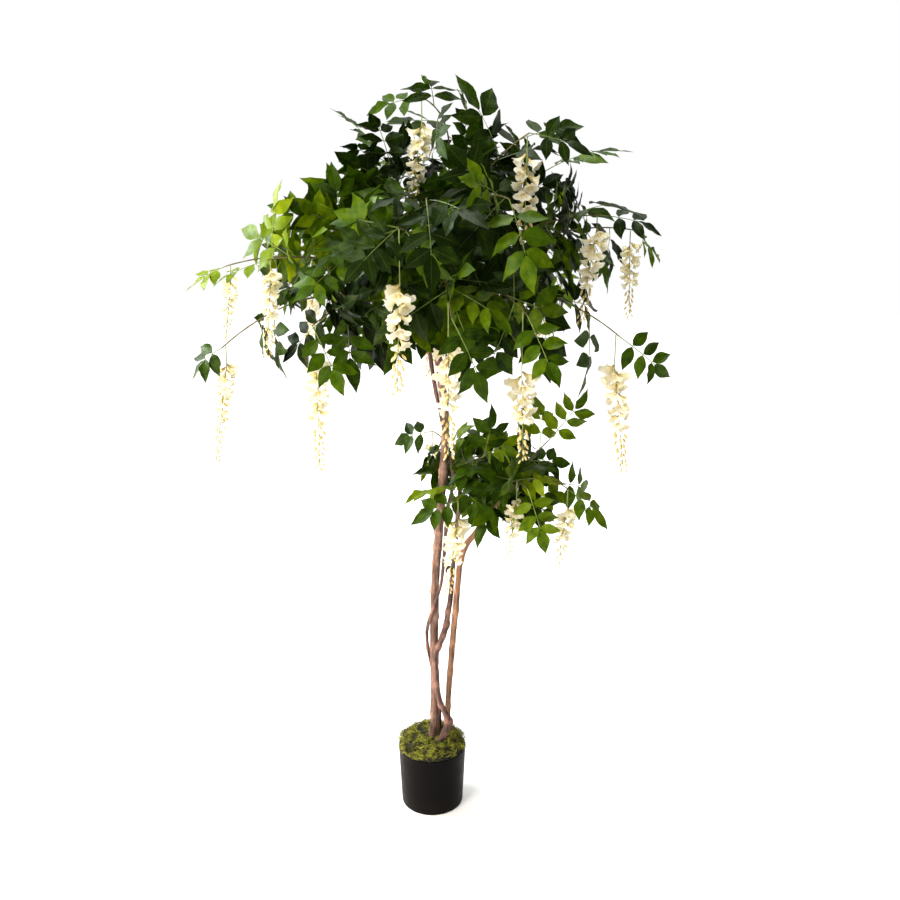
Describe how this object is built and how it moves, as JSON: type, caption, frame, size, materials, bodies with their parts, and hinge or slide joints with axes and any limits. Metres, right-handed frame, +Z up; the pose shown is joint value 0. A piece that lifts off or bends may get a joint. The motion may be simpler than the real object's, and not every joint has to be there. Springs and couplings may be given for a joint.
{
  "type": "potted climbing plant",
  "caption": "Artificial wisteria tree: twisted wooden stems, a spreading crown of compound leaves and hanging cream racemes, in a moss-topped nursery pot.",
  "frame": {"origin": "centre of the pot's flat underside", "axes": "+Z up along the trunk, -Y towards the front that the picture shows, +X to that view's right"},
  "size_m": [1.0952, 0.7832, 1.7989],
  "materials": {
    "pot": "black-brown injection-moulded plastic with a soft sheen",
    "filler_plug": "rough cast cement",
    "moss": "matt dyed dried moss on a foam pad",
    "wood": "natural stems with their bark, unvarnished",
    "dark_wood": "dark natural vine stems with their bark, unvarnished",
    "leaf": "printed polyester leaves with a waxy sheen on plastic-covered wire",
    "petal": "matt cream polyester petals and buds on green wire"
  },
  "bodies": {
    "root": {"filler_plug": "filler_plug", "main_trunk": "wood", "moss": "moss", "pot": "pot", "raceme_back_left": "petal", "raceme_back_middle": "petal", "raceme_back_right": "petal", "raceme_far_left": "petal", "raceme_front_left": "petal", "raceme_front_middle": "petal", "raceme_front_right": "petal", "raceme_left_low": "petal", "raceme_left_middle": "petal", "raceme_left_underside": "petal", "raceme_lower_back": "petal", "raceme_lower_front": "petal", "raceme_lower_hanging": "petal", "raceme_lower_left": "petal", "raceme_lower_right": "petal", "raceme_right_back": "petal", "raceme_right_low": "petal", "raceme_right_middle": "petal", "raceme_top_arch": "petal", "raceme_top_right": "petal", "side_pole": "wood", "side_vine": "dark_wood", "spray_back_high": "leaf", "spray_back_left": "leaf", "spray_back_low": "leaf", "spray_back_middle": "leaf", "spray_back_right": "leaf", "spray_far_left": "leaf", "spray_front_high": "leaf", "spray_front_left": "leaf", "spray_front_middle": "leaf", "spray_front_right": "leaf", "spray_inner_front": "leaf", "spray_left_front": "leaf", "spray_left_low": "leaf", "spray_left_middle": "leaf", "spray_left_underside": "leaf", "spray_left_upper": "leaf", "spray_lower_back": "leaf", "spray_lower_far": "leaf", "spray_lower_front": "leaf", "spray_lower_hanging": "leaf", "spray_lower_left": "leaf", "spray_lower_right": "leaf", "spray_lower_top": "leaf", "spray_right_back": "leaf", "spray_right_low": "leaf", "spray_right_middle": "leaf", "spray_right_upper": "leaf", "spray_top_arch": "leaf", "spray_top_front": "leaf", "spray_top_left": "leaf", "spray_top_right": "leaf", "spray_top_spike": "leaf", "spray_upper_left": "leaf", "twining_vine": "dark_wood"}
  },
  "joints": []
}
